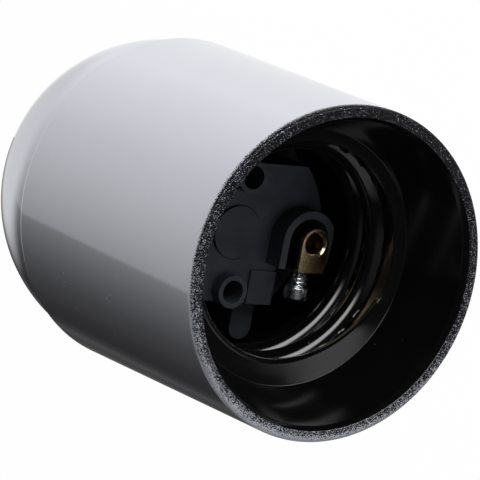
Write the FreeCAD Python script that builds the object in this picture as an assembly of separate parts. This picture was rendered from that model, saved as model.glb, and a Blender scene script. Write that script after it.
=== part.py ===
"""E27 lamp holder with a plain metallised skirt and a domed cap, one STEP file for each piece.

Millimetres. +Z is the holder's axis and points out of the mouth. The origin is the centre of the neck's end face,
where the pipe or nipple enters. The contact carrier stands with its terminal side towards the mouth and its lamp
contacts towards the cap. It has two poles, and the second is the first one turned half a turn about the axis.
"""
import FreeCAD, Part
import math
import os

Vector = FreeCAD.Vector
AXIS = Vector(0, 0, 1)
CENTRE = Vector(0, 0, 0)

# Shell: the skirt stands on the shoulder of the cap
total_height = 59.6
shell_radius = 20.0
cap_height = 21.8
seam_step = 0.65
skirt_wall = 2.2
cap_wall = 2.0

# Joint between skirt and cap, a screwed spigot
spigot_height = 7.0
spigot_wall = 1.8
spigot_clearance = 0.1
flange_thickness = 2.0
flange_clearance = 0.5

# Mouth, measured down from its rim
rim_round = 0.6
rear_round = 0.4
rim_inner_radius = 18.6
lip_radius = 18.15
lip_depth = 0.8
ledge_radius = 15.4
ledge_depth = 8.4
ledge_drop = 0.25
flare_wall = 1.5

# E27 thread in the skirt, right-handed
thread_root_radius = 13.8
thread_crest_radius = 12.4
thread_pitch = 3.63
thread_half_width = 1.35
thread_point_share = 0.3
thread_start_depth = 9.0
thread_start_angle = -19.0
thread_turn_angle = 830.0
thread_runout_angle = 55.0
thread_step_angle = 15.0
thread_flats = 4
thread_bedding = 0.3
joining_tolerance = 0.001
relief_radius = 14.6
sleeve_wall = 1.6

# Neck of the cap with its M10x1 bush and lock screw
neck_radius = 7.75
neck_chamfer = 0.5
entry_radius = 4.46
bush_radius = 6.1
bush_length = 9.0
bush_recess = 0.3
boss_wall = 1.7
lock_screw_radius = 1.5
lock_screw_length = 3.1
lock_screw_height = 2.15
lock_screw_clearance = 0.06
lock_socket_radius = 0.75
lock_socket_depth = 1.3

# Contact carrier, depths measured down from the rim of the mouth
face_depth = 21.4
face_radius = 12.1
face_half_width = 8.5
medallion_radius = 3.2
medallion_height = 0.3
tube_offset = 6.95
tube_radius = 2.0
tube_bore = 1.4
tube_height = 1.6
terminal_offset = 8.75
guard_height = 2.8
guard_gap = 0.9
guard_wall = 0.95
guard_leg = 3.5
bay_inner_edge = 6.6
pad_height = 0.35
pad_width = 3.6
pad_inner_edge = 4.4
lug_drop = 1.6
lug_thickness = 3.0
lug_width = 3.1
lug_offset = 4.2
lug_reach = 13.3
window_inner_edge = 9.8
window_radius = 14.2

# Terminal block and clamp screw
block_width = 3.7
block_length = 7.0
block_foot = 3.5
block_front_depth = 17.2
wire_hole_radius = 1.25
wire_countersink = 0.3
clamp_screw_depth = 19.3
clamp_screw_radius = 1.22
clamp_screw_clearance = 0.06
clamp_screw_gap = 1.7
clamp_screw_retreat = 0.3
clamp_head_radius = 1.45
clamp_head_height = 1.6
clamp_slot_width = 0.5
clamp_slot_depth = 0.7

# Contact bars, tongues and rivets on the carrier's other face
bar_thickness = 0.5
bar_radius = 2.2
tail_width = 2.4
tail_clearance = 0.15
tongue_thickness = 0.4
tongue_width = 3.6
tongue_play = 0.3
tongue_hole_clearance = 0.25
tongue_pad_reach = 2.4
centre_tongue_drop = 3.4
centre_tongue_flat = 1.2
side_tongue_drop = 6.2
side_tongue_inset = 0.4
side_tongue_tip_inset = 1.1
rivet_head_radius = 2.1
rivet_head_height = 0.8
rivet_grip = 4.0

# Levels and radii that follow from them
seam_z = cap_height
mouth_z = total_height
cap_radius = shell_radius - seam_step
skirt_bore = shell_radius - skirt_wall
spigot_radius = skirt_bore - spigot_clearance
spigot_bore = spigot_radius - spigot_wall
spigot_top = seam_z + spigot_height
flange_top = spigot_top + flange_thickness
ledge_z = mouth_z - ledge_depth
sleeve_radius = relief_radius + sleeve_wall
boss_radius = bush_radius + boss_wall
boss_top = bush_recess + bush_length
face_z = mouth_z - face_depth
tube_top = face_z + tube_height
guard_top = face_z + guard_height
block_top = mouth_z - block_front_depth
block_bottom = block_top - block_length
clamp_screw_z = mouth_z - clamp_screw_depth
guard_bore = block_width / 2 + guard_gap
bar_bottom = spigot_top - bar_thickness
tongue_top = bar_bottom - tongue_play
tongue_bottom = tongue_top - tongue_thickness
rivet_head_top = tongue_bottom - tongue_play
side_tongue_reach = thread_root_radius - side_tongue_inset
side_tongue_tip_reach = thread_root_radius - side_tongue_tip_inset


def outline(points):
    """Return the closed face of (radius, height) points in the XZ plane; a pair of points is an arc's middle and end."""
    last = first = Vector(points[0][0], 0, points[0][1])
    edges = []
    for item in points[1:]:
        if isinstance(item[0], tuple):
            middle, end = (Vector(r, 0, z) for r, z in item)
            edges.append(Part.Arc(last, middle, end).toShape())
        else:
            end = Vector(item[0], 0, item[1])
            edges.append(Part.makeLine(last, end))
        last = end
    edges.append(Part.makeLine(last, first))
    return Part.Face(Part.Wire(edges))


def revolved(points):
    """Return the solid of revolution of an outline about the holder's axis."""
    return outline(points).revolve(CENTRE, AXIS, 360)


def cylinder(radius, bottom, top, x=0.0, y=0.0):
    """Return an upright cylinder between two heights."""
    return Part.makeCylinder(radius, top - bottom, Vector(x, y, bottom), AXIS)


def box(x0, x1, y0, y1, z0, z1):
    """Return the box between three pairs of coordinates."""
    return Part.makeBox(x1 - x0, y1 - y0, z1 - z0, Vector(x0, y0, z0))


def on_circle(centre_r, centre_z, radius, angle):
    """Return the outline point at an angle in degrees on a circle."""
    a = math.radians(angle)
    return (centre_r + radius * math.cos(a), centre_z + radius * math.sin(a))


def round_edge(centre_r, centre_z, radius, start, end):
    """Return two outline items, the start of an arc and its pair of middle and end, between two angles in degrees."""
    middle, last = (on_circle(centre_r, centre_z, radius, a) for a in ((start + end) / 2, end))
    return on_circle(centre_r, centre_z, radius, start), (middle, last)


def half_turn(shape):
    """Return a copy turned half a turn about the holder's axis."""
    turned = shape.copy()
    turned.rotate(CENTRE, AXIS, 180)
    return turned


def arch(radius, leg, bottom, top):
    """Return an arch-shaped prism at the first terminal: round on its +Y side, straight legs down to -leg."""
    x = terminal_offset
    return cylinder(radius, bottom, top, x).fuse(box(x - radius, x + radius, -leg, 0, bottom, top)).removeSplitter()


def thread_section(angle, height_share):
    """Return the closed section of the thread's ridge at an angle in degrees, drawn in by height_share from 0 to 1."""
    z = mouth_z - thread_start_depth + thread_pitch * (angle - thread_start_angle) / 360
    base = thread_root_radius + thread_bedding
    sunk_crest = thread_root_radius + thread_bedding / 2
    crest = sunk_crest - height_share * (sunk_crest - thread_crest_radius)
    half = (thread_half_width + thread_bedding / 2) * (thread_point_share + (1 - thread_point_share) * height_share)
    turn = math.radians(angle)

    corners = []
    for i in range(thread_flats + 1):
        a = math.pi * i / thread_flats
        r = base - (base - crest) * math.sin(a)
        corners.append(Vector(r * math.cos(turn), r * math.sin(turn), z - half * math.cos(a)))
    return Part.makePolygon(corners + corners[:1])


def thread_ridge():
    """Return the E27 ridge: it rises out of the wall below the ledge, winds down and sinks back at its end."""
    steps = math.ceil(thread_turn_angle / thread_step_angle)
    sections = []
    for i in range(steps + 1):
        run = thread_turn_angle * i / steps
        ramp = min(run, thread_turn_angle - run, thread_runout_angle) / thread_runout_angle
        share = math.sin(ramp * math.pi / 2)
        sections.append(thread_section(thread_start_angle - run, share))
    ridge = Part.makeLoft(sections, True, True)
    above_ledge = cylinder(sleeve_radius, ledge_z - ledge_drop, mouth_z)
    return ridge.cut(above_ledge)


def make_skirt():
    """Plain shell with a rounded rim, a flared entry, the threaded sleeve and an open gap between sleeve and shell."""
    flare_slope = (lip_radius - ledge_radius) / (ledge_depth - lip_depth)
    gap_top = ledge_z + (skirt_bore - flare_wall - ledge_radius) / flare_slope
    chamfer_z = ledge_z - ledge_drop
    relief_z = mouth_z - thread_start_depth - thread_pitch * thread_turn_angle / 360 - thread_half_width - sleeve_wall
    body = revolved([
        (skirt_bore, seam_z),
        (shell_radius - rear_round, seam_z),
        (shell_radius, seam_z + rear_round),
        *round_edge(shell_radius - rim_round, mouth_z - rim_round, rim_round, 0, 90),
        (rim_inner_radius, mouth_z),
        (lip_radius, mouth_z - lip_depth),
        (ledge_radius, ledge_z),
        (thread_root_radius, chamfer_z),
        (thread_root_radius, relief_z),
        (relief_radius, relief_z),
        (relief_radius, flange_top),
        (sleeve_radius, flange_top),
        (sleeve_radius, ledge_z - sleeve_wall),
        (skirt_bore, gap_top),
    ])
    return body.fuse([thread_ridge()], joining_tolerance).removeSplitter()


def make_rear_cap():
    """Domed cap with a screwed spigot for the skirt and a bossed neck around the metal bush."""
    inner_radius = cap_radius - cap_wall
    neck_angle = -math.degrees(math.acos(neck_radius / cap_radius))
    bore_angle = -math.degrees(math.acos(spigot_bore / inner_radius))
    boss_angle = -math.degrees(math.acos(boss_radius / inner_radius))
    cap = revolved([
        (bush_radius, 0),
        (neck_radius - neck_chamfer, 0),
        (neck_radius, neck_chamfer),
        *round_edge(0, seam_z, cap_radius, neck_angle, 0),
        (spigot_radius, seam_z),
        (spigot_radius, spigot_top),
        (spigot_bore, spigot_top),
        *round_edge(0, seam_z, inner_radius, bore_angle, boss_angle),
        (boss_radius, boss_top),
        (bush_radius, boss_top),
    ])
    return cap.cut(lock_screw_hole())


def lock_screw_hole():
    """Return the cutter of the lock screw's tapped hole, from the entry's wall out through the neck."""
    radius = lock_screw_radius + lock_screw_clearance
    return Part.makeCylinder(radius, shell_radius, Vector(0, 0, lock_screw_height), Vector(0, -1, 0))


def make_thread_bush():
    """Metal bush with the M10x1 entry; the fine thread is left plain at its wall radius."""
    bush = cylinder(bush_radius, bush_recess, boss_top).cut(cylinder(entry_radius, bush_recess, boss_top))
    return bush.cut(lock_screw_hole())


def make_neck_lock_screw():
    """Grub screw with a hexagon socket, flush with the neck and just short of the entry."""
    outer = Vector(0, -neck_radius, lock_screw_height)
    screw = Part.makeCylinder(lock_screw_radius, lock_screw_length, outer, Vector(0, 1, 0))
    corners = []
    for i in range(7):
        a = math.radians(60 * i)
        corners.append(outer + Vector(lock_socket_radius * math.cos(a), 0, lock_socket_radius * math.sin(a)))
    socket = Part.Face(Part.makePolygon(corners)).extrude(Vector(0, lock_socket_depth, 0))
    return screw.cut(socket)


def carrier_pole_solids():
    """Return what the first pole adds to the carrier: collared tube, arched guard, pad and lug."""
    face_disc = cylinder(face_radius, spigot_top, guard_top)
    guard = arch(guard_bore + guard_wall, guard_leg, face_z - flange_thickness, guard_top).common(face_disc)
    tube = cylinder(tube_radius, spigot_top, tube_top, 0, -tube_offset)
    pad = box(bay_inner_edge - pad_width, bay_inner_edge, -face_half_width, -pad_inner_edge, face_z, face_z + pad_height)
    lug_top = face_z - lug_drop
    lug_end = lug_reach - lug_width / 2
    lug = box(lug_offset - lug_width / 2, lug_offset + lug_width / 2, -lug_end, -face_half_width,
              lug_top - lug_thickness, lug_top)
    lug = lug.fuse(cylinder(lug_width / 2, lug_top - lug_thickness, lug_top, lug_offset, -lug_end))
    return guard, tube, pad, lug


def carrier_pole_cuts():
    """Return what the first pole takes from the carrier: terminal well, screw bay, tube bore and the bar's slot."""
    well = arch(guard_bore, guard_leg, block_bottom, guard_top + block_length)
    bay = box(bay_inner_edge, shell_radius, -shell_radius, -guard_leg, block_bottom, guard_top + block_length)
    bore = cylinder(tube_bore, bar_bottom, tube_top + tube_height, 0, -tube_offset)
    half_width = tail_width / 2 + tail_clearance
    half_depth = bar_thickness / 2 + tail_clearance
    slot = box(terminal_offset - half_width, terminal_offset + half_width, -half_depth, half_depth,
               bar_bottom, block_bottom + bar_thickness)
    return well, bay, bore, slot


def make_contact_carrier():
    """Moulded carrier: a flange held between skirt and cap, and a raised face with both poles and a bare medallion."""
    flange = cylinder(skirt_bore - flange_clearance, spigot_top, flange_top)
    window = cylinder(window_radius, spigot_top, flange_top)
    window = window.cut(box(-shell_radius, shell_radius, -window_inner_edge, window_inner_edge, spigot_top, flange_top))
    body = cylinder(face_radius, spigot_top, face_z)
    body = body.common(box(-shell_radius, shell_radius, -face_half_width, face_half_width, spigot_top, face_z))
    carrier = flange.cut(window).fuse(body)
    carrier = carrier.fuse(cylinder(medallion_radius, face_z, face_z + medallion_height))
    for solid in carrier_pole_solids():
        carrier = carrier.fuse(solid).fuse(half_turn(solid))
    for cutter in carrier_pole_cuts():
        carrier = carrier.cut(cutter).cut(half_turn(cutter))
    return carrier.removeSplitter()


def make_terminal_block():
    """Brass block, round on top, with the wire's hole along the axis and the clamp screw's tapped hole from below."""
    block = arch(block_width / 2, block_foot, block_bottom, block_top)
    wire_hole = cylinder(wire_hole_radius, block_bottom, block_top, terminal_offset)
    countersink = Part.makeCone(wire_hole_radius, wire_hole_radius + wire_countersink, wire_countersink,
                                Vector(terminal_offset, 0, block_top - wire_countersink), AXIS)
    tapped = Part.makeCylinder(clamp_screw_radius + clamp_screw_clearance, block_foot,
                               Vector(terminal_offset, -block_foot, clamp_screw_z), Vector(0, 1, 0))
    return block.cut(wire_hole).cut(countersink).cut(tapped)


def make_terminal_screw():
    """Cheese-head clamp screw, stored partly backed out so that the wire's hole is free."""
    head_y = -block_foot - clamp_screw_gap
    tip_y = -wire_hole_radius - clamp_screw_retreat
    up = Vector(0, 1, 0)
    x = terminal_offset
    shank = Part.makeCylinder(clamp_screw_radius, tip_y - head_y, Vector(x, head_y, clamp_screw_z), up)
    head_end = head_y - clamp_head_height
    head = Part.makeCylinder(clamp_head_radius, clamp_head_height, Vector(x, head_end, clamp_screw_z), up)
    half = clamp_slot_width / 2
    slot = box(x - half, x + half, head_end, head_end + clamp_slot_depth,
               clamp_screw_z - clamp_head_radius, clamp_screw_z + clamp_head_radius)
    return shank.fuse(head).removeSplitter().cut(slot)


def make_terminal_strip():
    """Brass bar from the tube's rivet to the terminal, with a tail up through the carrier to the block's foot."""
    start = Vector(0, -tube_offset, bar_bottom)
    end = Vector(terminal_offset, 0, bar_bottom)
    along = (end - start).normalize()
    side = Vector(-along.y, along.x, 0) * bar_radius
    link = Part.Face(Part.makePolygon([start - side, end - side, end + side, start + side, start - side]))
    bar = link.extrude(AXIS * bar_thickness)
    for centre in (start, end):
        bar = bar.fuse(cylinder(bar_radius, bar_bottom, spigot_top, centre.x, centre.y))
    half_width, half_depth = tail_width / 2, bar_thickness / 2
    tail = box(terminal_offset - half_width, terminal_offset + half_width, -half_depth, half_depth,
               bar_bottom, block_bottom)
    bar = bar.fuse(tail).removeSplitter()
    return bar.cut(cylinder(tube_bore, bar_bottom, spigot_top, 0, -tube_offset))


def bent_tongue(points):
    """Return a strip of the tongue's thickness and width along (y, z) points, with its rivet hole; -Y is outwards."""
    path = Part.Wire([Part.makeLine(Vector(0, *a), Vector(0, *b)) for a, b in zip(points, points[1:])])
    band = path.makeOffset2D(tongue_thickness / 2, 0, False, False)
    strip = Part.Face(band)
    strip.translate(Vector(-tongue_width / 2, 0, 0))
    strip = strip.extrude(Vector(tongue_width, 0, 0))
    rivet_hole = cylinder(tube_bore + tongue_hole_clearance, rivet_head_top, bar_bottom, 0, -tube_offset)
    return strip.cut(rivet_hole)


def make_centre_contact():
    """Spring tongue from the second tube to the axis, where the lamp's eyelet presses on it."""
    level = (tongue_top + tongue_bottom) / 2
    low = level - centre_tongue_drop
    tongue = bent_tongue([
        (-tube_offset - tongue_pad_reach, level),
        (-tube_offset + tongue_pad_reach, level),
        (-centre_tongue_flat, low),
        (centre_tongue_flat, low),
        (centre_tongue_flat * 2, low + centre_tongue_flat),
    ])
    return half_turn(tongue)


def make_side_contact():
    """Spring tongue from the first tube outwards and down, which presses on the shell of the lamp's cap."""
    level = (tongue_top + tongue_bottom) / 2
    low = level - side_tongue_drop
    return bent_tongue([
        (-tube_offset + tongue_pad_reach, level),
        (-tube_offset - tongue_pad_reach, level),
        (-side_tongue_reach, level - side_tongue_drop / 4),
        (-side_tongue_tip_reach, low),
        (-side_tongue_reach, low - tongue_width / 4),
    ])


def make_contact_rivet():
    """Rivet with its head under the tongue and its shank through bar and tube."""
    shank = cylinder(tube_bore, rivet_head_top, spigot_top + rivet_grip, 0, -tube_offset)
    collar_bottom = rivet_head_top - rivet_head_height / 2
    collar = cylinder(rivet_head_radius, collar_bottom, rivet_head_top, 0, -tube_offset)
    crown = Part.makeCone(rivet_head_radius, rivet_head_radius / 2, rivet_head_height / 2,
                          Vector(0, -tube_offset, collar_bottom), Vector(0, 0, -1))
    return shank.fuse(collar).fuse(crown).removeSplitter()


def main():
    """Write every piece to its own STEP file."""
    pieces = {
        "skirt": make_skirt(),
        "rear_cap": make_rear_cap(),
        "thread_bush": make_thread_bush(),
        "neck_lock_screw": make_neck_lock_screw(),
        "contact_carrier": make_contact_carrier(),
        "centre_contact": make_centre_contact(),
        "side_contact": make_side_contact(),
    }
    poles = {
        "terminal_block": make_terminal_block(),
        "terminal_screw": make_terminal_screw(),
        "terminal_strip": make_terminal_strip(),
        "contact_rivet": make_contact_rivet(),
    }
    for name, shape in poles.items():
        pieces[name + "_1"] = shape
        pieces[name + "_2"] = half_turn(shape)
    os.makedirs("parts", exist_ok=True)
    for name, shape in pieces.items():
        solids = shape.Solids
        print(name, "valid", shape.isValid(), "solids", len(solids), "mm3", round(shape.Volume, 1))
        solid = solids[0] if len(solids) == 1 else shape
        solid.exportStep(os.path.join("parts", name + ".step"))


main()
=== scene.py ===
"""Looks of the E27 lamp holder: turned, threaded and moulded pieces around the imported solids.

Every length is in metres in the part's own frame: +Z is the holder's axis and points out of the
mouth, and the origin is the centre of the neck's end face. The classes follow the holder's
sub-assemblies, from the shell to the contacts.
"""

import logging
import math
from dataclasses import dataclass, field
from enum import Enum
from typing import Any, Callable, Iterable, Optional, Sequence, Union

import bmesh
import bpy
from mathutils import Matrix, Vector

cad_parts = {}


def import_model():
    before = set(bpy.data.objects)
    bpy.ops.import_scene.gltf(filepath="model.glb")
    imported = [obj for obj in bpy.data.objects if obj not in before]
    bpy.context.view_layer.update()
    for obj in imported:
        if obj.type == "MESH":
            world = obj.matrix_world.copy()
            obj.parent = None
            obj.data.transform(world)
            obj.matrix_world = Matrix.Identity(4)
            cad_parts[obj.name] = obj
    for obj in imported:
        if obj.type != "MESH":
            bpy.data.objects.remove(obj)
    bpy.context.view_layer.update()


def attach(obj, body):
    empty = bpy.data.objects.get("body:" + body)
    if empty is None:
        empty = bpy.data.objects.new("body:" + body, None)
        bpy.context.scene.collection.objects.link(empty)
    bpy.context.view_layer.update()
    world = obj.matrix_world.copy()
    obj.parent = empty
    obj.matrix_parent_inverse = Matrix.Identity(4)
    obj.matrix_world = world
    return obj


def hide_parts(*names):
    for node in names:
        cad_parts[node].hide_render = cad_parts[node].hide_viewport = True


log = logging.getLogger("lamp_holder")

MM = 0.001
TOUCH = 0.001 * MM
MERGE = 0.0005 * MM
OVERCUT = 0.1 * MM
ROUNDING_SHARE = 0.49
ROWS_PER_TURN = 9
PIN_AROUND = 56
FLAT_ANGLE = math.radians(0.6)
EDGE_ANGLE = math.radians(40)
EDGE_FLATS = 2
MIRROR_TINT = (0.83, 0.84, 0.915)
Number = Union[int, float, "Value"]
Relief = Callable[[float, float], float]
Key = Union[int, str]
Piece = bpy.types.Object
Mesh = bpy.types.Mesh
Pair = tuple[float, float]
Triple = tuple[float, float, float]


class Crease(Enum):
    """Angle in degrees above which an edge shades crisp."""

    CUT_CAP = 25.0
    EASED = 32.0
    PLAIN = 35.0
    TURNED = 40.0
    SCREW = 45.0
    THREADED = 50.0

    def mark(self, mesh: Mesh) -> None:
        """Mark a mesh's crisp edges."""
        mesh.set_sharp_from_angle(angle=math.radians(self.value))


class Axis(Enum):
    """Turn that carries a piece made about +Z onto its own axis."""

    ALONG_Y = Matrix.Rotation(math.radians(-90), 4, "X")
    AGAINST_Y = Matrix.Rotation(math.radians(90), 4, "X")


class Value:
    """A number or colour that varies over a surface, written with Python's operators."""

    def __init__(self, graph: "Graph", socket: bpy.types.NodeSocket) -> None:
        """Wrap one output socket.

        Args:
            graph: the node graph that the socket belongs to.
            socket: the output socket.
        """
        self.graph = graph
        self.socket = socket

    def _math(self, operation: str, first: Number, second: Number) -> "Value":
        """Return a Math node's result for two numbers."""
        return self.graph.node("ShaderNodeMath", {"operation": operation}, {0: first, 1: second})

    def __add__(self, other: Number) -> "Value":
        """Return self + other."""
        return self._math("ADD", self, other)

    __radd__ = __add__

    def __sub__(self, other: Number) -> "Value":
        """Return self - other."""
        return self._math("SUBTRACT", self, other)

    def __rsub__(self, other: Number) -> "Value":
        """Return other - self."""
        return self._math("SUBTRACT", other, self)

    def __mul__(self, other: Number) -> "Value":
        """Return self * other."""
        return self._math("MULTIPLY", self, other)

    __rmul__ = __mul__

    def __truediv__(self, other: Number) -> "Value":
        """Return self / other."""
        return self._math("DIVIDE", self, other)

    def __pow__(self, other: Number) -> "Value":
        """Return self ** other."""
        return self._math("POWER", self, other)

    def rise(self, low: float, high: float) -> "Value":
        """Return a smooth step from 0 at low to 1 at high.

        Args:
            low: the number where the step starts.
            high: the number where the step ends.

        Returns:
            The step, held at 0 and 1 outside the two numbers.
        """
        settings = {"interpolation_type": "SMOOTHSTEP", "clamp": True}
        return self.graph.node("ShaderNodeMapRange", settings,
                               {"Value": self, "From Min": low, "From Max": high})


class Graph:
    """A node tree with one way to add a node."""

    def __init__(self, tree: bpy.types.NodeTree) -> None:
        """Start an empty tree.

        Args:
            tree: the node tree of a material or world.
        """
        self.tree = tree
        tree.nodes.clear()

    def node(self, kind: str, settings: Optional[dict[str, Any]] = None,
             sockets: Optional[dict[Key, Any]] = None,
             output: Key = 0) -> Value:
        """Add a node.

        Args:
            kind: the node's type.
            settings: its properties, or a ramp's stops, set before its sockets.
            sockets: values or links for its input sockets, by name or index.
            output: the output that is returned.

        Returns:
            The wrapped output socket.
        """
        made = self.tree.nodes.new(kind)
        for name, setting in (settings or {}).items():
            if name == "stops":
                self._set_stops(made.color_ramp, setting)
            else:
                setattr(made, name, setting)
        for name, given in (sockets or {}).items():
            if isinstance(given, Value):
                self.tree.links.new(given.socket, made.inputs[name])
            else:
                made.inputs[name].default_value = given
        return Value(self, made.outputs[output] if made.outputs else None)

    @staticmethod
    def _set_stops(ramp: bpy.types.ColorRamp, stops: Sequence[tuple[float, Triple]]) -> None:
        """Give a colour ramp its stops, as (position, colour) pairs."""
        while len(ramp.elements) < len(stops):
            ramp.elements.new(1.0)
        for element, (position, color) in zip(ramp.elements, stops):
            element.position = position
            element.color = (*color, 1.0)

    def mix(self, share: Number, first: Any, second: Any) -> Value:
        """Return a colour between two colours.

        Args:
            share: 0 for the first colour, 1 for the second.
            first: an RGB triple or a Value.
            second: an RGB triple or a Value.

        Returns:
            The mixed colour.
        """
        pair = [(*c, 1.0) if isinstance(c, tuple) else c for c in (first, second)]
        sockets = {0: share, 6: pair[0], 7: pair[1]}
        return self.node("ShaderNodeMix", {"data_type": "RGBA"}, sockets, 2)

    def place(self) -> Value:
        """Return the point's place in the part's frame."""
        return self.node("ShaderNodeTexCoord", output="Object")

    def parts(self, vector: Value) -> tuple[Value, Value, Value]:
        """Return the three coordinates of a vector."""
        split = self.node("ShaderNodeSeparateXYZ", sockets={0: vector}).socket.node
        return tuple(Value(self, socket) for socket in split.outputs)

    def noise(self, where: Value, grain: float, detail: float = 2.0,
              roughness: float = 0.5) -> Value:
        """Return a noise from 0 to 1.

        Args:
            where: the coordinates.
            grain: the size of its features, in metres.
            detail: octaves.
            roughness: share of the fine octaves.

        Returns:
            The noise.
        """
        sockets = {"Vector": where, "Scale": 1 / grain, "Detail": detail, "Roughness": roughness}
        return self.node("ShaderNodeTexNoise", None, sockets)

    def stretched(self, where: Value, scale: Triple) -> Value:
        """Return coordinates scaled along each axis."""
        return self.node("ShaderNodeMapping", None, {"Vector": where, "Scale": scale})

    def bump(self, height: Value, depth: float, strength: float = 1.0) -> Value:
        """Return a normal bumped by a height from 0 to 1.

        Args:
            height: the height.
            depth: what a height of 1 stands for, in metres.
            strength: share of the effect.

        Returns:
            The bumped normal.
        """
        sockets = {"Height": height, "Distance": depth, "Strength": strength}
        return self.node("ShaderNodeBump", None, sockets)

    def surface(self, **sockets: Any) -> Value:
        """Return a Principled shader; spaces in its sockets' names are written as underscores."""
        named = {name.replace("_", " "): given for name, given in sockets.items()}
        for name, given in named.items():
            if isinstance(given, tuple) and len(given) == 3:
                named[name] = (*given, 1.0)
        return self.node("ShaderNodeBsdfPrincipled", None, named)

    def finish(self, shader: Value, kind: str = "ShaderNodeOutputMaterial") -> None:
        """Link a shader to the tree's output."""
        self.node(kind, None, {"Surface": shader})


class Finish:
    """A material that builds itself once."""

    name = "finish"

    def shader(self, graph: Graph) -> Value:
        """Return the finish's shader."""
        raise NotImplementedError

    def material(self) -> bpy.types.Material:
        """Return the Blender material, made on first use."""
        found = bpy.data.materials.get(self.name)
        if found is None:
            found = bpy.data.materials.new(self.name)
            found.use_nodes = True
            graph = Graph(found.node_tree)
            graph.finish(self.shader(graph))
        return found


@dataclass(frozen=True)
class MirrorCoat(Finish):
    """Vacuum-metallised outside of the shell, pale lilac silver."""

    name: str = "mirror_coat"
    tint: Triple = MIRROR_TINT
    roughness: float = 0.035
    cloud_size: float = 9 * MM
    ripple_size: float = 4 * MM
    ripple_depth: float = 0.002 * MM
    cloud_shade: float = 0.96
    cloud_blur: float = 0.02
    dust_size: float = 0.35 * MM
    dust_rise: Pair = (0.76, 0.8)
    dust_cover: float = 0.3
    dust_blur: float = 0.15

    def shader(self, graph: Graph) -> Value:
        """Return the finish's shader."""
        where = graph.place()
        cloud = graph.noise(where, self.cloud_size)
        dust = graph.noise(where, self.dust_size, 1.0).rise(*self.dust_rise)
        ripple = graph.noise(where, self.ripple_size, 1.0)
        return graph.surface(
            Base_Color=graph.mix(cloud, self.tint, tuple(self.cloud_shade * c for c in self.tint)),
            Metallic=1 - dust * self.dust_cover,
            Roughness=self.roughness + cloud * self.cloud_blur + dust * self.dust_blur,
            Normal=graph.bump(ripple, self.ripple_depth),
        )


@dataclass(frozen=True)
class SpeckledCoat(Finish):
    """Rim of the mouth, where the metal coat ends in a spray of fine silver grains on black, the
    grains denser towards one side partly as a heavier spray and partly as painted light.
    """

    name: str = "speckled_coat"
    silver: Triple = (0.46, 0.47, 0.53)
    black: Triple = (0.004, 0.004, 0.005)
    grain_size: float = 0.14 * MM
    patch_size: float = 1.4 * MM
    bare_radius: float = 18.8 * MM
    coated_radius: float = 20.05 * MM
    face_height: float = 59.6 * MM
    wrap: Pair = (0.25 * MM, 1.0 * MM)
    # Azimuth of the side where the rim is painted more silver: partly heavier spray, partly painted
    # light on the rim's brighter side.
    lit_side_azimuth: float = -92.0
    grain_depth: float = 0.02 * MM
    grain_strength: float = 0.4
    grain_blur: float = 0.03
    bare_level: float = 0.72
    lit_side_gain: float = 0.11
    outward_gain: float = 0.27
    over_gain: float = 0.2
    over_lit_side_gain: float = 0.5
    patch_gain: float = 0.09
    spray_metallic: float = 0.4
    spray_roughness: float = 0.38
    coat_roughness: float = 0.1
    specular: float = 0.15

    def shader(self, graph: Graph) -> Value:
        """Return the finish's shader."""
        where = graph.place()
        x, y, z = graph.parts(where)
        radius = (x * x + y * y) ** 0.5
        outward = radius.rise(self.bare_radius, self.coated_radius)
        over = (self.face_height - z).rise(*self.wrap)
        # The silver grains grow denser towards that side: partly a heavier spray, partly painted
        # light standing in for the side of the rim that catches more light.
        side = math.radians(self.lit_side_azimuth)
        lit_side_share = ((x * math.cos(side) + y * math.sin(side)) / radius * 0.5 + 0.5) ** 2
        patch = graph.noise(where, self.patch_size)
        grain = graph.noise(where, self.grain_size, 1.0, 0.7)
        lit_side_spray = lit_side_share * (self.lit_side_gain + outward * self.outward_gain)
        wrapped = over * (self.over_gain + lit_side_share * self.over_lit_side_gain)
        edge = self.bare_level - lit_side_spray - wrapped - patch * self.patch_gain
        silvered = (grain - edge).rise(-self.grain_blur, self.grain_blur)
        coat = graph.mix(over, self.silver, MIRROR_TINT)
        return graph.surface(
            Base_Color=graph.mix(silvered, self.black, coat),
            Metallic=silvered * (self.spray_metallic + over * (1 - self.spray_metallic)),
            Roughness=self.spray_roughness - over * (self.spray_roughness - self.coat_roughness),
            Specular_IOR_Level=self.specular,
            Normal=graph.bump(grain, self.grain_depth, self.grain_strength),
        )


@dataclass(frozen=True)
class BlackGloss(Finish):
    """Polished black plastic inside the shell, with faint flow marks and a few specks of dust."""

    name: str = "black_gloss"
    color: Triple = (0.003, 0.003, 0.0035)
    speck: Triple = (0.09, 0.09, 0.1)
    roughness: float = 0.08
    flow_size: float = 5 * MM
    flow_depth: float = 0.012 * MM
    flow_stretch: Triple = (1, 1, 0.35)
    flow_blur: float = 0.06
    speck_size: float = 0.5 * MM
    speck_rise: Pair = (0.76, 0.8)
    speck_blur: float = 0.25
    specular: float = 0.5

    def shader(self, graph: Graph) -> Value:
        """Return the finish's shader."""
        where = graph.place()
        flow = graph.noise(graph.stretched(where, self.flow_stretch), self.flow_size)
        specks = graph.noise(where, self.speck_size, 2.0).rise(*self.speck_rise)
        return graph.surface(
            Base_Color=graph.mix(specks, self.color, self.speck),
            Roughness=self.roughness + flow * self.flow_blur + specks * self.speck_blur,
            Normal=graph.bump(flow, self.flow_depth),
            Specular_IOR_Level=self.specular,
        )


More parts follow.
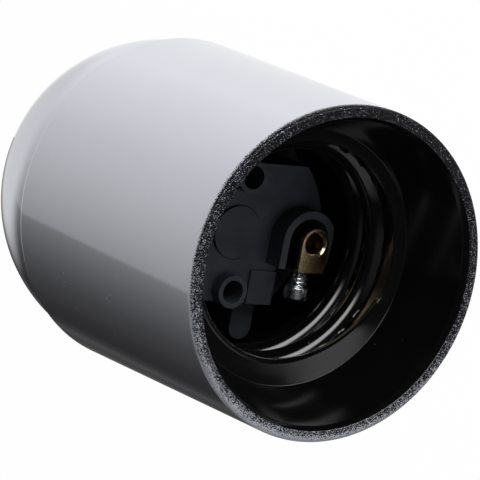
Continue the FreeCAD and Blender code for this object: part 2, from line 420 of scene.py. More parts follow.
@dataclass(frozen=True)
class MouldedPlastic(Finish):
    """Matte dark grey carrier plastic with a fine eroded grain."""

    name: str = "moulded_plastic"
    light: Triple = (0.033, 0.036, 0.043)
    dark: Triple = (0.023, 0.025, 0.031)
    grain_size: float = 0.12 * MM
    grain_depth: float = 0.012 * MM
    grain_strength: float = 0.5
    grain_blur: float = 0.16
    roughness: float = 0.5
    cloud_size: float = 3.5 * MM
    cloud_rise: Pair = (0.3, 0.7)

    def shader(self, graph: Graph) -> Value:
        """Return the finish's shader."""
        where = graph.place()
        grain = graph.noise(where, self.grain_size, 3.0, 0.6)
        cloud = graph.noise(where, self.cloud_size, 3.0)
        return graph.surface(
            Base_Color=graph.mix(cloud.rise(*self.cloud_rise), self.dark, self.light),
            Roughness=self.roughness + grain * self.grain_blur,
            Normal=graph.bump(grain, self.grain_depth, self.grain_strength),
        )


@dataclass(frozen=True)
class MachinedMetal(Finish):
    """Bare metal with fine tool marks along one direction and a light tarnish."""

    name: str = "machined_metal"
    bright: Triple = (0.78, 0.62, 0.36)
    dull: Triple = (0.46, 0.34, 0.18)
    roughness: float = 0.16
    mark_stretch: Triple = (1, 1, 0.06)
    mark_size: float = 0.09 * MM
    mark_depth: float = 0.006 * MM
    mark_strength: float = 0.7
    mark_blur: float = 0.08
    tarnish_size: float = 1.6 * MM
    tarnish_rise: Pair = (0.35, 0.75)
    tarnish_blur: float = 0.06

    def color(self, graph: Graph, where: Value, tarnish: Value, marks: Value) -> Value:
        """Return the metal's colour.

        Args:
            graph: the material's graph.
            where: the point's place.
            tarnish: 0 where the metal is bright, 1 where it is dull.
            marks: the tool marks.

        Returns:
            The colour.
        """
        return graph.mix(tarnish, self.bright, self.dull)

    def shader(self, graph: Graph) -> Value:
        """Return the finish's shader."""
        where = graph.place()
        marks = graph.noise(graph.stretched(where, self.mark_stretch), self.mark_size, 3.0, 0.6)
        tarnish = graph.noise(where, self.tarnish_size, 4.0, 0.6).rise(*self.tarnish_rise)
        return graph.surface(
            Base_Color=self.color(graph, where, tarnish, marks),
            Metallic=1.0,
            Roughness=self.roughness + marks * self.mark_blur + tarnish * self.tarnish_blur,
            Normal=graph.bump(marks, self.mark_depth, self.mark_strength),
        )


@dataclass(frozen=True)
class BlockBrass(MachinedMetal):
    """Terminal brass with a bright top, sides painted near-black below it as painted shade in the
    deep gap round the block, and a copper flush in the wire hole.
    """

    name: str = "block_brass"
    mark_size: float = 0.2 * MM
    mark_stretch: Triple = (1, 0.07, 1)
    # Painted shade: the near-black colour of the block's sides below the top, where they stand deep
    # in the guard's gap.
    painted_shade_color: Triple = (0.05, 0.035, 0.02)
    copper: Triple = (0.86, 0.66, 0.5)
    # Heights over which the painted shade on the sides fades into the bright brass of the top.
    shade_fade: Pair = (41.35 * MM, 41.75 * MM)
    hole_x: float = 8.75 * MM
    hole_radius: float = 1.28 * MM
    hole_fade: float = 1.05
    line_rise: Pair = (0.4, 0.7)
    line_share: float = 0.6

    def color(self, graph: Graph, where: Value, tarnish: Value, marks: Value) -> Value:
        """Return the metal's colour; see MachinedMetal.color."""
        x, y, z = graph.parts(where)
        off = graph.node("ShaderNodeMath", {"operation": "ABSOLUTE"}, {0: x}) - self.hole_x
        radius = (off * off + y * y) ** 0.5
        inside = 1 - radius.rise(self.hole_radius, self.hole_fade * self.hole_radius)
        lines = marks.rise(*self.line_rise) * self.line_share
        lined = graph.mix(lines, graph.mix(tarnish, self.bright, self.dull), self.dull)
        # Below these heights the sides take the painted shade colour instead of lit brass.
        wall = graph.mix(z.rise(*self.shade_fade), self.painted_shade_color, lined)
        return graph.mix(inside, wall, graph.mix(tarnish, self.copper, self.dull))


BRASS = MachinedMetal("terminal_brass")
BLOCK = BlockBrass()
BRONZE = MachinedMetal("contact_bronze", bright=(0.78, 0.52, 0.3), dull=(0.5, 0.3, 0.16),
                       roughness=0.22, mark_stretch=(1, 0.06, 1))
ZINC = MachinedMetal("zinc_plate", bright=(0.82, 0.84, 0.87), dull=(0.5, 0.52, 0.54),
                     roughness=0.18, mark_stretch=(1, 1, 1), mark_size=0.2 * MM,
                     mark_depth=0.003 * MM)
MIRROR, RIM, GLOSS, CARRIER = MirrorCoat(), SpeckledCoat(), BlackGloss(), MouldedPlastic()


@dataclass(frozen=True)
class Corner:
    """A corner of a turned outline, with the finish and rows of the stretch after it."""

    r: float
    z: float
    rounding: float = 0.0
    finish: int = 0
    rows: int = 1


def rounded(corners: Sequence[Corner], steps: int = 5) -> list[tuple[float, float, int]]:
    """Return the outline's points with its corners rounded by arcs.

    Args:
        corners: the closed outline's corners in order.
        steps: flats in each rounding.

    Returns:
        (radius, height, finish) points; the finish is that of the stretch after the point.
    """
    points = []
    count = len(corners)
    for i, corner in enumerate(corners):
        here = Vector((corner.r, corner.z))
        before = Vector((corners[i - 1].r, corners[i - 1].z))
        after = Vector((corners[(i + 1) % count].r, corners[(i + 1) % count].z))
        if corner.rounding <= 0:
            points.append((here.x, here.y, corner.finish))
        else:
            towards, away = (before - here).normalized(), (after - here).normalized()
            half = towards.angle(away) / 2
            shorter = min((before - here).length, (after - here).length)
            reach = min(corner.rounding / math.tan(half), ROUNDING_SHARE * shorter)
            radius = reach * math.tan(half)
            centre = here + (towards + away).normalized() * (radius / math.sin(half))
            first = here + towards * reach - centre
            sweep = first.angle_signed(here + away * reach - centre)
            for k in range(steps + 1):
                turned = centre + Matrix.Rotation(-sweep * k / steps, 2) @ first
                owner = corners[i - 1] if k < steps / 2 and i > 0 else corner
                points.append((turned.x, turned.y, owner.finish))
        for k in range(1, corner.rows):
            share = here.lerp(after, k / corner.rows)
            points.append((share.x, share.y, corner.finish))
    return points


def placed(name: str, data: Any) -> Piece:
    """Put a mesh, camera or lamp into the scene as an object."""
    made = bpy.data.objects.new(name, data)
    bpy.context.scene.collection.objects.link(made)
    return made


def closed_mesh(name: str, shape: bmesh.types.BMesh) -> Mesh:
    """Turn a bmesh into a mesh and free it."""
    mesh = bpy.data.meshes.new(name)
    shape.to_mesh(mesh)
    shape.free()
    return mesh


def direction(azimuth: float, elevation: float) -> Vector:
    """Return the unit vector towards an azimuth and an elevation in degrees."""
    a, e = math.radians(azimuth), math.radians(elevation)
    return Vector((math.cos(e) * math.cos(a), math.cos(e) * math.sin(a), math.sin(e)))


def new_piece(name: str, mesh: Mesh, finishes: Sequence[Finish],
              crease: Crease = Crease.PLAIN) -> Piece:
    """Put a mesh into the scene as a smooth-shaded piece.

    Args:
        name: the piece's name.
        mesh: its mesh.
        finishes: the finishes of its material slots.
        crease: the angle above which its edges stay crisp.

    Returns:
        The new object.
    """
    for finish in finishes:
        mesh.materials.append(finish.material())
    mesh.shade_smooth()
    crease.mark(mesh)
    return placed(name, mesh)


def turned_mesh(name: str, outline: Sequence[tuple[float, float, int]], around: int,
                relief: Optional[Relief] = None,
                relief_walls: Iterable[int] = ()) -> Mesh:
    """Return an outline turned about +Z.

    Args:
        name: the mesh's name.
        outline: closed (radius, height, finish) points; a radius of 0 closes the piece on its axis.
        around: divisions of a full turn.
        relief: adds to the radius at an angle and a height, such as a thread does.
        relief_walls: indexes of the points that the relief moves.

    Returns:
        The mesh, with the finishes as material indexes.
    """
    moved = set(relief_walls)
    shape = bmesh.new()
    rings = []
    for i, (radius, height, _) in enumerate(outline):
        if radius <= 0:
            rings.append([shape.verts.new((0, 0, height))])
            continue
        ring = []
        for k in range(around):
            angle = 2 * math.pi * k / around
            r = radius + (relief(angle, height) if relief and i in moved else 0.0)
            ring.append(shape.verts.new((r * math.cos(angle), r * math.sin(angle), height)))
        rings.append(ring)
    for i, (_, _, finish) in enumerate(outline):
        lower, upper = rings[i], rings[(i + 1) % len(rings)]
        if len(lower) == 1 and len(upper) == 1:
            continue
        for k in range(around):
            corners = [lower[k % len(lower)], lower[(k + 1) % len(lower)],
                       upper[(k + 1) % len(upper)], upper[k % len(upper)]]
            face = shape.faces.new(list(dict.fromkeys(corners)))
            face.material_index = finish
    bmesh.ops.recalc_face_normals(shape, faces=shape.faces)
    return closed_mesh(name, shape)


def evaluated(piece: Piece) -> Mesh:
    """Apply a piece's modifiers to its mesh and return the mesh."""
    bpy.context.view_layer.update()
    graph = bpy.context.evaluated_depsgraph_get()
    mesh = bpy.data.meshes.new_from_object(piece.evaluated_get(graph))
    piece.modifiers.clear()
    old, piece.data = piece.data, mesh
    bpy.data.meshes.remove(old)
    return mesh


def cut(piece: Piece, cutters: Sequence[Piece]) -> None:
    """Cut tools out of a piece and remove the tools.

    Args:
        piece: the piece.
        cutters: closed meshes in the part's frame.
    """
    for cutter in cutters:
        modifier = piece.modifiers.new("cut", "BOOLEAN")
        modifier.operation = "DIFFERENCE"
        modifier.solver = "EXACT"
        modifier.object = cutter
        evaluated(piece)
        bpy.data.objects.remove(cutter)


def prism(name: str, sides: int, radius: float, length: float, place: Matrix) -> Piece:
    """Return a closed prism from the origin along its own +Z, as a cutting tool.

    Args:
        name: the tool's name.
        sides: its number of sides.
        radius: its corner radius.
        length: its length.
        place: where it stands.

    Returns:
        The new object.
    """
    outline = [(0.0, 0.0, 0), (radius, 0.0, 0), (radius, length, 0), (0.0, length, 0)]
    mesh = turned_mesh(name, outline, sides)
    mesh.transform(place)
    return placed(name, mesh)


@dataclass(frozen=True)
class Screw:
    """A round-profile or V-profile screw thread as a relief on a turned wall."""

    pitch: float
    depth: float
    crest_sharpness: float = 1.0
    start_angle: float = 0.0
    valley_gain: float = 1.3
    crest_flat: float = 0.12

    def relief(self, angle: float, height: float) -> float:
        """Return the wall's change of radius: 0 at the crest, -depth at the root."""
        phase = (height / self.pitch - (angle - self.start_angle) / (2 * math.pi)) % 1.0
        valley = 1 - abs(2 * phase - 1)
        share = min(1.0, max(0.0, valley * self.valley_gain - self.crest_flat))
        return -self.depth * share ** self.crest_sharpness


def even_faces(piece: Piece) -> None:
    """Make a piece's flat faces shade flat, and only its rounded edges turn the light."""
    Crease.EASED.mark(piece.data)
    modifier = piece.modifiers.new("even", "WEIGHTED_NORMAL")
    modifier.keep_sharp = True
    evaluated(piece)


def eased_copy(name: str, node: str, edge: float, finish: Finish) -> Piece:
    """Return a piece with the solid's form and softly broken edges.

    Args:
        name: the new piece's name.
        node: the solid that it follows.
        edge: the width of the broken edges.
        finish: the piece's finish.

    Returns:
        The new object.
    """
    shape = bmesh.new()
    shape.from_mesh(bpy.data.objects[node].data)
    bmesh.ops.remove_doubles(shape, verts=shape.verts, dist=MERGE)
    bmesh.ops.dissolve_limit(shape, angle_limit=FLAT_ANGLE, verts=shape.verts, edges=shape.edges)
    piece = new_piece(name, closed_mesh(name, shape), [finish])
    modifier = piece.modifiers.new("edges", "BEVEL")
    modifier.width = edge
    modifier.segments = EDGE_FLATS
    modifier.limit_method = "ANGLE"
    modifier.angle_limit = EDGE_ANGLE
    modifier.harden_normals = False
    evaluated(piece).shade_smooth()
    even_faces(piece)
    return piece


def settle(piece: Piece, body: str, node: str) -> None:
    """Put a piece on its body, in its node's place, and report it.

    Args:
        piece: the piece.
        body: the body that carries it.
        node: the solid that it stands for.
    """
    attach(piece, body)
    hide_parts(node)
    log.info("%s: %d faces on %s", piece.name, len(piece.data.polygons), body)


@dataclass
class Shell:
    """Skirt, domed cap, and the metal bush and lock screw in the cap's neck."""

    outer_radius: float = 20 * MM
    mouth_z: float = 59.6 * MM
    seam_z: float = 21.8 * MM
    skirt_bore: float = 17.8 * MM
    rim_rounding: float = 0.6 * MM
    rim_band: float = 1.0 * MM
    rim_inner_rounding: float = 0.2 * MM
    seam_rounding: float = 0.4 * MM
    rim_inner_radius: float = 18.6 * MM
    lip_radius: float = 18.15 * MM
    lip_rounding: float = 0.3 * MM
    lip_depth: float = 0.8 * MM
    ledge_radius: float = 15.4 * MM
    ledge_depth: float = 8.4 * MM
    ledge_drop: float = 0.25 * MM
    flare_wall: float = 1.5 * MM
    sleeve_wall: float = 1.6 * MM
    relief_radius: float = 14.6 * MM
    flange_top: float = 30.8 * MM
    soft_edge: float = 0.12 * MM

    thread_root: float = 13.8 * MM
    thread_crest: float = 12.4 * MM
    thread_pitch: float = 3.63 * MM
    thread_half_width: float = 1.55 * MM
    thread_start_depth: float = 9.0 * MM
    thread_start_angle: float = -19.0
    thread_turn: float = 830.0
    thread_runout: float = 55.0
    thread_rows: int = 96
    runout_width: float = 0.3
    ridge_roundness: float = 0.85
    around: int = 288

    cap_radius: float = 19.35 * MM
    cap_wall: float = 2.0 * MM
    spigot_radius: float = 17.7 * MM
    spigot_bore: float = 15.9 * MM
    spigot_top: float = 28.8 * MM
    spigot_rows: int = 72
    spigot_plain: Pair = (0.8 * MM, 0.5 * MM)
    spigot_fade: Pair = (0.5 * MM, 0.3 * MM)
    spigot_screw: Screw = field(default_factory=lambda: Screw(1.5 * MM, 0.3 * MM, 0.8))
    dome_steps: int = 40
    neck_radius: float = 7.75 * MM
    neck_chamfer: float = 0.5 * MM
    boss_radius: float = 7.8 * MM

    bush_radius: float = 6.1 * MM
    bush_recess: float = 0.3 * MM
    bush_length: float = 9.0 * MM
    bush_rounding: Pair = (0.1 * MM, 0.15 * MM)
    entry_radius: float = 4.46 * MM
    entry_chamfer: float = 0.45 * MM
    entry_screw: Screw = field(default_factory=lambda: Screw(1.0 * MM, -0.5 * MM))
    entry_rows: int = 110
    bush_around: int = 128

    lock_radius: float = 1.5 * MM
    lock_length: float = 3.1 * MM
    lock_height: float = 2.15 * MM
    lock_lead: float = 0.25 * MM
    lock_clearance: float = 0.06 * MM
    lock_sides: int = 48
    lock_screw: Screw = field(default_factory=lambda: Screw(0.5 * MM, 0.24 * MM))
    socket_radius: float = 0.75 * MM
    socket_depth: float = 1.3 * MM

    def ridge(self, angle: float, height: float) -> float:
        """Return how far the lamp thread's ridge stands in from the sleeve's wall.

        Args:
            angle: the angle about the axis in radians.
            height: the height in metres.

        Returns:
            The change of radius in metres, negative on the ridge.
        """
        top = self.mouth_z - self.thread_start_depth
        deepest = 0.0
        turns = math.ceil(self.thread_turn / 360) + 1
        for turn in range(turns):
            run = (self.thread_start_angle - math.degrees(angle)) % 360 + 360 * turn
            if run > self.thread_turn:
                break
            ramp = min(run, self.thread_turn - run, self.thread_runout) / self.thread_runout
            share = math.sin(ramp * math.pi / 2)
            centre = top - self.thread_pitch * run / 360
            half = self.thread_half_width * (self.runout_width + (1 - self.runout_width) * share)
            offset = (height - centre) / half
            if abs(offset) < 1:
                deepest = max(deepest, share * (1 - offset * offset) ** self.ridge_roundness)
        return -deepest * (self.thread_root - self.thread_crest)

    def skirt(self) -> None:
        """Turn the skirt, with the lamp thread raised from its inner wall."""
        metal, rim, black = 0, 1, 2
        chamfer_z = self.mouth_z - self.ledge_depth - self.ledge_drop
        slope = (self.lip_radius - self.ledge_radius) / (self.ledge_depth - self.lip_depth)
        ledge_z = self.mouth_z - self.ledge_depth
        gap_top = ledge_z + (self.skirt_bore - self.flare_wall - self.ledge_radius) / slope
        relief_z = (self.mouth_z - self.thread_start_depth
                    - self.thread_pitch * self.thread_turn / 360
                    - self.thread_half_width - self.sleeve_wall)
        sleeve_radius = self.relief_radius + self.sleeve_wall
        edge = self.soft_edge
        start = [
            Corner(self.skirt_bore, self.seam_z, 0, black),
            Corner(self.outer_radius, self.seam_z, self.seam_rounding, metal),
            Corner(self.outer_radius, self.mouth_z - self.rim_band, 0, rim),
            Corner(self.outer_radius, self.mouth_z, self.rim_rounding, rim),
            Corner(self.rim_inner_radius, self.mouth_z, self.rim_inner_rounding, black),
            Corner(self.lip_radius, self.mouth_z - self.lip_depth, self.lip_rounding, black),
            Corner(self.ledge_radius, ledge_z, edge, black),
            Corner(self.thread_root + edge, chamfer_z + self.ledge_drop * edge
                   / (self.ledge_radius - self.thread_root), 0, black),
        ]
        wall = [Corner(self.thread_root, chamfer_z - edge, 0, black, self.thread_rows)]
        end = [
            Corner(self.thread_root, relief_z, 0, black),
            Corner(self.relief_radius, relief_z, 0, black),
            Corner(self.relief_radius, self.flange_top, edge, black),
            Corner(sleeve_radius, self.flange_top, edge, black),
            Corner(sleeve_radius, ledge_z - self.sleeve_wall, 0, black),
            Corner(self.skirt_bore, gap_top, 0, black),
        ]
        outline = rounded(start + wall + end, 8)
        low, high = relief_z - TOUCH, chamfer_z + TOUCH
        threaded = [i for i, (r, z, _) in enumerate(outline)
                    if abs(r - self.thread_root) < TOUCH and low < z < high]
        mesh = turned_mesh("skirt_shell", outline, self.around, self.ridge, threaded)
        piece = new_piece("skirt_shell", mesh, [MIRROR, RIM, GLOSS], Crease.TURNED)
        self.crisp_ring(mesh, chamfer_z - edge)
        settle(piece, "skirt", "skirt")

    @staticmethod
    def crisp_ring(mesh: Mesh, height: float) -> None:
        """Keep the ring of edges at a height crisp all the way round."""
        for line in mesh.edges:
            if all(abs(mesh.vertices[i].co.z - height) < TOUCH for i in line.vertices):
                line.use_edge_sharp = True

    def lock_hole(self) -> Piece:
        """Return the cutter of the lock screw's hole, from the entry outwards."""
        place = Matrix.Translation((0, 0, self.lock_height)) @ Axis.AGAINST_Y.value
        radius = self.lock_radius + self.lock_clearance
        return prism("lock_hole", self.lock_sides, radius, self.outer_radius, place)

    def rear_cap(self) -> None:
        """Turn the domed cap with its neck, its inner boss and the screwed spigot."""
        metal, black = 0, 1
        inner = self.cap_radius - self.cap_wall
        neck_angle = -math.acos(self.neck_radius / self.cap_radius)
        bore_angle = -math.acos(self.spigot_bore / inner)
        boss_angle = -math.acos(self.boss_radius / inner)
        boss_top = self.bush_recess + self.bush_length
        outline = [
            (self.bush_radius, 0.0, metal),
            (self.neck_radius - self.neck_chamfer, 0.0, metal),
            (self.neck_radius, self.neck_chamfer, metal),
        ]
        steps = self.dome_steps
        outline += [(*self._on_sphere(self.cap_radius, neck_angle * (1 - k / steps)), metal)
                    for k in range(steps + 1)]
        outline[-1] = (*outline[-1][:2], black)
        rows = self.spigot_rows
        rise = self.spigot_top - self.seam_z
        first = len(outline)
        outline += [(self.spigot_radius, self.seam_z + rise * k / rows, black)
                    for k in range(rows + 1)]
        threaded = range(first, len(outline))
        outline.append((self.spigot_bore, self.spigot_top, black))
        sweep = boss_angle - bore_angle
        outline += [(*self._on_sphere(inner, bore_angle + sweep * k / steps), black)
                    for k in range(steps + 1)]
        outline += [(self.boss_radius, boss_top, black), (self.bush_radius, boss_top, black)]
        mesh = turned_mesh("cap_shell", outline, self.around, self._spigot_relief, threaded)
        piece = new_piece("cap_shell", mesh, [MIRROR, GLOSS], Crease.TURNED)
        cut(piece, [self.lock_hole()])
        Crease.CUT_CAP.mark(piece.data)
        settle(piece, "base", "rear_cap")

    def _on_sphere(self, radius: float, angle: float) -> Pair:
        """Return the outline point on a sphere about the seam's centre."""
        return radius * math.cos(angle), self.seam_z + radius * math.sin(angle)

    def _spigot_relief(self, angle: float, height: float) -> float:
        """Return the spigot's thread, faded out at both ends of the wall."""
        rise = (height - self.seam_z - self.spigot_plain[0]) / self.spigot_fade[0]
        fall = (self.spigot_top - self.spigot_plain[1] - height) / self.spigot_fade[1]
        fade = min(1.0, max(0.0, rise), max(0.0, fall))
        return self.spigot_screw.relief(angle, height) * fade

    def thread_bush(self) -> None:
        """Turn the metal bush with its tapped entry."""
        low, high = self.bush_recess, self.bush_recess + self.bush_length
        lead, wide = self.entry_chamfer, self.entry_radius + self.entry_chamfer
        corners = [
            Corner(self.bush_radius, low, self.bush_rounding[0]),
            Corner(self.bush_radius, high, self.bush_rounding[1]),
            Corner(wide, high),
            Corner(self.entry_radius, high - lead, 0, 0, self.entry_rows),
            Corner(self.entry_radius, low + lead),
            Corner(wide, low),
        ]
        outline = rounded(corners, 3)
        threaded = [i for i, (r, _, _) in enumerate(outline) if abs(r - self.entry_radius) < TOUCH]
        mesh = turned_mesh("entry_bush", outline, self.bush_around, self.entry_screw.relief,
                           threaded)
        piece = new_piece("entry_bush", mesh, [ZINC], Crease.THREADED)
        cut(piece, [self.lock_hole()])
        Crease.THREADED.mark(piece.data)
        settle(piece, "base", "thread_bush")

    def neck_lock_screw(self) -> None:
        """Turn the grub screw and sink its hexagon socket."""
        piece = threaded_pin("grub_screw", self.lock_radius, self.lock_length, self.lock_screw,
                             self.lock_lead)
        place = Matrix.Translation((0, 0, -OVERCUT))
        cut(piece, [prism("socket", 6, self.socket_radius, self.socket_depth + OVERCUT, place)])
        seat = Matrix.Translation((0, -self.neck_radius, self.lock_height))
        piece.data.transform(seat @ Axis.ALONG_Y.value)
        Crease.SCREW.mark(piece.data)
        settle(piece, "neck_lock_screw", "neck_lock_screw")

    def build(self) -> None:
        """Make the shell's pieces."""
        self.skirt()
        self.rear_cap()
        self.thread_bush()
        self.neck_lock_screw()


def threaded_pin(name: str, radius: float, length: float, screw: Screw, lead: float,
                 head: Sequence[Corner] = ()) -> Piece:
    """Return a screw from the origin along +Z, its crests at the radius and its tip at the top.

    Args:
        name: the piece's name.
        radius: the crest's radius.
        length: the threaded length.
        screw: the thread.
        lead: the height of the tip's chamfer.
        head: outline corners below the thread, from the axis outwards; a pin without them is
            chamfered at both ends.

    Returns:
        The new object.
    """
    rows = math.ceil(length / screw.pitch * ROWS_PER_TURN)
    start = list(head) or [Corner(0.0, 0.0), Corner(radius - lead, 0.0)]
    low = 0.0 if head else lead
    corners = start + [Corner(radius, low, 0, 0, rows), Corner(radius, length - lead),
                       Corner(radius - lead, length), Corner(0.0, length)]
    outline = rounded(corners, 4)
    threaded = [i for i, (r, z, _) in enumerate(outline)
                if abs(r - radius) < TOUCH and z > low + 10 * TOUCH]
    mesh = turned_mesh(name, outline, PIN_AROUND, screw.relief, threaded)
    return new_piece(name, mesh, [ZINC], Crease.THREADED)


@dataclass
class Insert:
    """Contact carrier with its terminals, lamp contacts and rivets."""

    face_z: float = 38.2 * MM
    medallion_radius: float = 3.2 * MM
    groove_width: float = 0.16 * MM
    groove_depth: float = 0.2 * MM
    groove_around: int = 96
    terminal_offset: float = 8.75 * MM
    clamp_z: float = 40.3 * MM
    clamp_radius: float = 1.22 * MM
    clamp_length: float = 4.05 * MM
    clamp_seat: float = 5.6 * MM
    head_radius: float = 1.6 * MM
    head_height: float = 1.6 * MM
    head_rounding: Pair = (0.3 * MM, 0.12 * MM)
    clamp_lead: float = 0.2 * MM
    slot_width: float = 0.5 * MM
    slot_depth: float = 0.7 * MM
    clamp_screw: Screw = field(default_factory=lambda: Screw(0.45 * MM, 0.26 * MM))
    moulded_edge: float = 0.14 * MM
    machined_edge: float = 0.07 * MM
    stamped_edge: float = 0.05 * MM

    def carrier(self) -> None:
        """Dress the moulded carrier."""
        piece = eased_copy("carrier_moulding", "contact_carrier", self.moulded_edge, CARRIER)
        low, high = self.face_z - self.groove_depth, self.face_z + self.groove_depth
        inner, outer = self.medallion_radius, self.medallion_radius + self.groove_width
        outline = [(inner, low, 0), (outer, low, 0), (outer, high, 0), (inner, high, 0)]
        cut(piece, [placed("groove", turned_mesh("groove", outline, self.groove_around))])
        even_faces(piece)
        settle(piece, "base", "contact_carrier")

    def terminals(self) -> None:
        """Dress the brass blocks and bars and the rivets of both poles."""
        for pole in (1, 2):
            for name, node, edge, finish in (
                ("clamp_block", "terminal_block", self.machined_edge, BLOCK),
                ("link_bar", "terminal_strip", self.stamped_edge, BRASS),
                ("rivet", "contact_rivet", self.machined_edge, BRASS),
            ):
                piece = eased_copy(f"{name}_{pole}", f"{node}_{pole}", edge, finish)
                settle(piece, "base", f"{node}_{pole}")

    def clamp_screws(self) -> None:
        """Turn both clamp screws with their threads and slotted heads."""
        head = [
            Corner(0.0, -self.head_height),
            Corner(self.head_radius, -self.head_height, self.head_rounding[0]),
            Corner(self.head_radius, 0.0, self.head_rounding[1]),
        ]
        for pole, side in ((1, 1), (2, -1)):
            piece = threaded_pin(f"clamp_screw_{pole}", self.clamp_radius, self.clamp_length,
                                 self.clamp_screw, self.clamp_lead, head)
            mesh = slab(2 * self.head_radius, self.slot_width / 2, 2 * self.slot_depth)
            mesh.transform(Matrix.Translation((0, 0, -self.head_height))
                           @ Matrix.Rotation(math.pi / 2, 4, "Z"))
            cut(piece, [placed("slot", mesh)])
            seat = (self.terminal_offset, -self.clamp_seat, self.clamp_z)
            stand = Matrix.Translation(seat) @ Axis.ALONG_Y.value
            turn = Matrix.Rotation(0 if side > 0 else math.pi, 4, "Z")
            piece.data.transform(turn @ stand)
            Crease.SCREW.mark(piece.data)
            settle(piece, f"terminal_screw_{pole}", f"terminal_screw_{pole}")

    def contacts(self) -> None:
        """Dress the two spring tongues."""
        for node in ("centre_contact", "side_contact"):
            piece = eased_copy(node.replace("contact", "tongue"), node, self.stamped_edge, BRONZE)
            settle(piece, node, node)

    def build(self) -> None:
        """Make the insert's pieces."""
        self.carrier()
        self.terminals()
        self.clamp_screws()
        self.contacts()


def slab(half_x: float, half_y: float, depth: float) -> Mesh:
    """Return a box mesh centred on the origin, as a slot's cutting tool.

    Args:
        half_x: half its length.
        half_y: half its width.
        depth: its full height.

    Returns:
        The mesh.
    """
    shape = bmesh.new()
    bmesh.ops.create_cube(shape, size=1.0)
    bmesh.ops.scale(shape, vec=(2 * half_x, 2 * half_y, depth), verts=shape.verts)
    return closed_mesh("slab", shape)


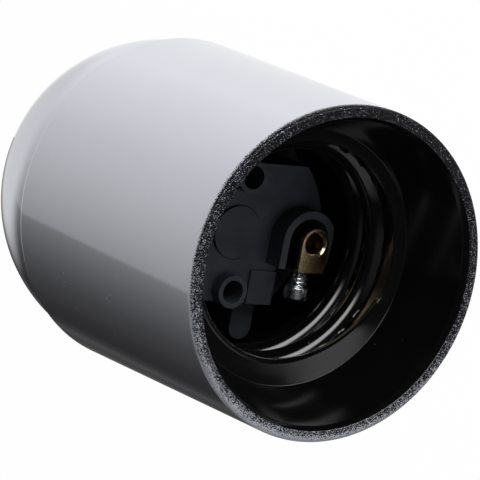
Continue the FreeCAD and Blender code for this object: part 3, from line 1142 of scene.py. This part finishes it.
@dataclass
class Studio:
    """Camera, floor, lamps and the surroundings that the mirror coat shows."""

    target: Triple = (-0.19 * MM, -0.68 * MM, 39.51 * MM)
    distance: float = 0.6727
    azimuth: float = 164.5
    elevation: float = 53.356
    roll: float = 113.224
    lens: float = 427.74
    sensor: float = 36.0
    floor_size: float = 6.0
    floor_color: Triple = (0.9, 0.9, 0.9)
    floor_glow: float = 0.98
    ambient: float = 0.3
    horizon: Pair = (-0.25, 0.05)
    nadir: Pair = (0.88, 0.97)
    nadir_color: Triple = (0.66, 0.66, 0.66)
    sky_glow: float = 0.02
    panels: tuple[tuple[float, ...], ...] = (
        (8.0, 64.0, 2.0, 9.0, 1.1),
        (-15.4, 53.0, 3.0, 13.0, 1.3),
        (-80.0, 25.0, 10.0, 30.0, 0.6),
        (-150.0, 62.0, 6.0, 26.0, 0.15),
    )
    strip_low: Pair = (0.50, 0.56)
    strip_high: Pair = (0.70, 0.78)
    strip_ends: Pair = (28.0, 168.0)
    strip_fade: float = 0.35
    strip_radiance: float = 8.0
    panorama_start: float = 15.4 / 360
    panorama: tuple[Pair, ...] = (
        (0.0, 0.92), (0.06, 0.88), (0.23, 0.87), (0.3, 0.79), (0.367, 0.71), (0.433, 0.61),
        (0.5, 0.53), (0.567, 0.43), (0.6, 0.38), (0.641, 0.31), (0.648, 0.2), (0.667, 0.165),
        (0.7, 0.12), (0.733, 0.085), (0.767, 0.06), (0.8, 0.045), (0.833, 0.033), (0.87, 0.028),
        (0.89, 0.04), (0.91, 0.07), (0.94, 0.05), (0.97, 0.08), (1.0, 0.25),
    )
    lamp_centre: Triple = (0, 0, 40 * MM)
    lamp_panels: tuple[tuple[Any, ...], ...] = (
        ("top_panel", 95.0, 40.0, 0.9, (1.5, 0.2), 5.0),
        ("mouth_panel", -60.0, 76.0, 0.9, (0.5, 0.5), 2.2),
    )

    def camera(self) -> None:
        """Place the camera."""
        roll = math.radians(self.roll)
        outwards = direction(self.azimuth, self.elevation)
        level = (-outwards).cross(Vector((0, 0, 1))).normalized()
        raised = level.cross(-outwards)
        right = level * math.cos(roll) + raised * math.sin(roll)
        up = right.cross(-outwards)
        data = bpy.data.cameras.new("camera")
        data.lens, data.sensor_width = self.lens, self.sensor
        data.clip_start, data.clip_end = 0.05, 50.0
        camera = placed("camera", data)
        turn = Matrix((right, up, outwards)).transposed().to_4x4()
        place = Vector(self.target) + outwards * self.distance
        camera.matrix_world = Matrix.Translation(place) @ turn
        bpy.context.scene.camera = camera

    def floor(self) -> None:
        """Lay the pale floor: white to the camera, softly shadowed, and clear from below."""
        mesh = bpy.data.meshes.new("floor")
        h = self.floor_size / 2
        mesh.from_pydata([(-h, -h, 0), (h, -h, 0), (h, h, 0), (-h, h, 0)], [], [(0, 1, 2, 3)])
        material = bpy.data.materials.new("floor")
        material.use_nodes = True
        graph = Graph(material.node_tree)
        matte = graph.surface(Base_Color=self.floor_color, Roughness=0.9)
        glow = graph.node("ShaderNodeEmission", None, {"Color": (1, 1, 1, 1), "Strength": 1.0})
        seen = graph.node("ShaderNodeLightPath", output="Is Camera Ray")
        share = seen * self.floor_glow
        above = graph.node("ShaderNodeMixShader", None, {0: share, 1: matte, 2: glow})
        clear = graph.node("ShaderNodeBsdfTransparent")
        under = graph.node("ShaderNodeNewGeometry", output="Backfacing")
        graph.finish(graph.node("ShaderNodeMixShader", None, {0: under, 1: above, 2: clear}))
        mesh.materials.append(material)
        floor = placed("floor", mesh)
        floor.visible_glossy = False

    def surroundings(self) -> None:
        """Set the world: white to the camera, even to matte surfaces, panels to glossy ones."""
        world = bpy.data.worlds.new("studio")
        bpy.context.scene.world = world
        world.use_nodes = True
        graph = Graph(world.node_tree)
        paths = graph.node("ShaderNodeLightPath").socket.node.outputs
        seen, mirrored = Value(graph, paths["Is Camera Ray"]), Value(graph, paths["Is Glossy Ray"])
        x, y, z = graph.parts(graph.node("ShaderNodeTexCoord", output="Generated"))
        angle = graph.node("ShaderNodeMath", {"operation": "ARCTAN2"}, {0: y, 1: x})
        share = angle / (2 * math.pi) + self.panorama_start
        turn = graph.node("ShaderNodeMath", {"operation": "FRACT"}, {0: share})
        stops = [(at, (g, g, g)) for at, g in self.panorama]
        below = graph.node("ShaderNodeValToRGB", {"stops": stops}, {0: turn})
        low = graph.mix((0 - z).rise(*self.nadir), below, self.nadir_color)
        glow = self.sky_glow
        for azimuth, elevation, inner, outer, radiance in self.panels:
            aim = direction(azimuth, elevation)
            towards = x * aim.x + y * aim.y + z * aim.z
            edges = math.cos(math.radians(outer)), math.cos(math.radians(inner))
            glow = glow + towards.rise(*edges) * radiance
        strip = z.rise(*self.strip_low) * (1 - z.rise(*self.strip_high))
        for edge, side in zip(self.strip_ends, (1, -1)):
            a = math.radians(edge)
            across = (y * math.cos(a) - x * math.sin(a)) * side
            strip = strip * across.rise(0.0, self.strip_fade)
        glow = glow + strip * self.strip_radiance
        upper = z.rise(*self.horizon)
        sky = graph.node("ShaderNodeCombineXYZ", None, {0: glow, 1: glow, 2: glow})
        around = graph.mix(upper, low, sky)
        even = (self.ambient,) * 3
        lit = graph.mix(mirrored, even, around)
        color = graph.mix(seen, lit, (1.0, 1.0, 1.0))
        graph.finish(graph.node("ShaderNodeBackground", None, {"Color": color, "Strength": 1.0}),
                     "ShaderNodeOutputWorld")

    def lamps(self) -> None:
        """Hang the soft panels."""
        for name, azimuth, elevation, distance, size, radiance in self.lamp_panels:
            data = bpy.data.lights.new(name, "AREA")
            data.shape = "RECTANGLE"
            data.size, data.size_y = size
            data.energy = 4 * radiance * size[0] * size[1]
            lamp = placed(name, data)
            lamp.visible_glossy = False
            out = direction(azimuth, elevation)
            place = Vector(self.lamp_centre) + out * distance
            turn = out.to_track_quat("Z", "Y").to_matrix().to_4x4()
            lamp.matrix_world = Matrix.Translation(place) @ turn

    def build(self) -> None:
        """Set the stage."""
        bpy.context.scene.view_settings.view_transform = "Standard"
        self.camera()
        self.floor()
        self.surroundings()
        self.lamps()


def main() -> None:
    """Load the frame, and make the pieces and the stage."""
    logging.basicConfig(level=logging.INFO, format="%(name)s %(message)s")
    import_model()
    Studio().build()
    Shell().build()
    Insert().build()


if __name__ == "__main__":
    main()
